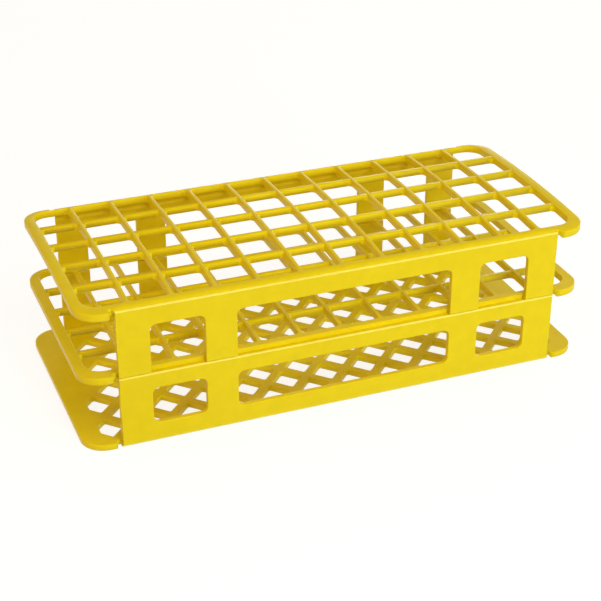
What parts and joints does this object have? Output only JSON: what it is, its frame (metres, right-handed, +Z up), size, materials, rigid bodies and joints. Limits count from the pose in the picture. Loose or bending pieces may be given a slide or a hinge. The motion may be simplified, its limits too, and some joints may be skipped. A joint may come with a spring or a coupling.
{
  "type": "test tube rack",
  "caption": "Folding three-tier test tube rack moulded in one plastic, with two square-hole plates over a diagonal lattice base and windowed side panels.",
  "frame": {"origin": "middle of the underside of the bottom plate", "axes": "+X along the rack's length, +Y from the front panels to the back panels, +Z up"},
  "size_m": [0.246, 0.1106, 0.0705],
  "materials": {
    "rack_plastic": "satin, as moulded"
  },
  "bodies": {
    "base": {"bottom_plate": "rack_plastic", "hinge_bottom_front": "rack_plastic", "hinge_bottom_back": "rack_plastic"},
    "front_wall": {"lower_front_panel": "rack_plastic", "hinge_mid_front": "rack_plastic"},
    "back_wall": {"lower_back_panel": "rack_plastic"},
    "mid_tier": {"mid_plate": "rack_plastic"},
    "top_tier": {"top_plate": "rack_plastic", "hinge_top_front": "rack_plastic", "hinge_top_back": "rack_plastic"},
    "front_flap": {"upper_front_panel": "rack_plastic"},
    "back_flap": {"upper_back_panel": "rack_plastic"}
  },
  "joints": [
    {"name": "front_wall_fold", "type": "hinge", "parent": "base", "child": "front_wall", "pos_m": [0, -0.05475, 0.0005], "axis": [1, 0, 0], "range_deg": [0, 90]},
    {"name": "back_wall_fold", "type": "hinge", "parent": "base", "child": "back_wall", "pos_m": [0, 0.05475, 0.0005], "axis": [-1, 0, 0], "range_deg": [0, 90]},
    {"name": "mid_tier_fold", "type": "hinge", "parent": "front_wall", "child": "mid_tier", "pos_m": [0, -0.05475, 0.0346], "axis": [1, 0, 0], "range_deg": [0, 90]},
    {"name": "top_section_lift", "type": "slide", "parent": "mid_tier", "child": "top_tier", "axis": [0, 0, 1], "range_m": [0, 0.06]},
    {"name": "front_flap_fold", "type": "hinge", "parent": "top_tier", "child": "front_flap", "pos_m": [0, -0.05475, 0.0678], "axis": [-1, 0, 0], "range_deg": [0, 90]},
    {"name": "back_flap_fold", "type": "hinge", "parent": "top_tier", "child": "back_flap", "pos_m": [0, 0.05475, 0.0678], "axis": [1, 0, 0], "range_deg": [0, 90]}
  ]
}
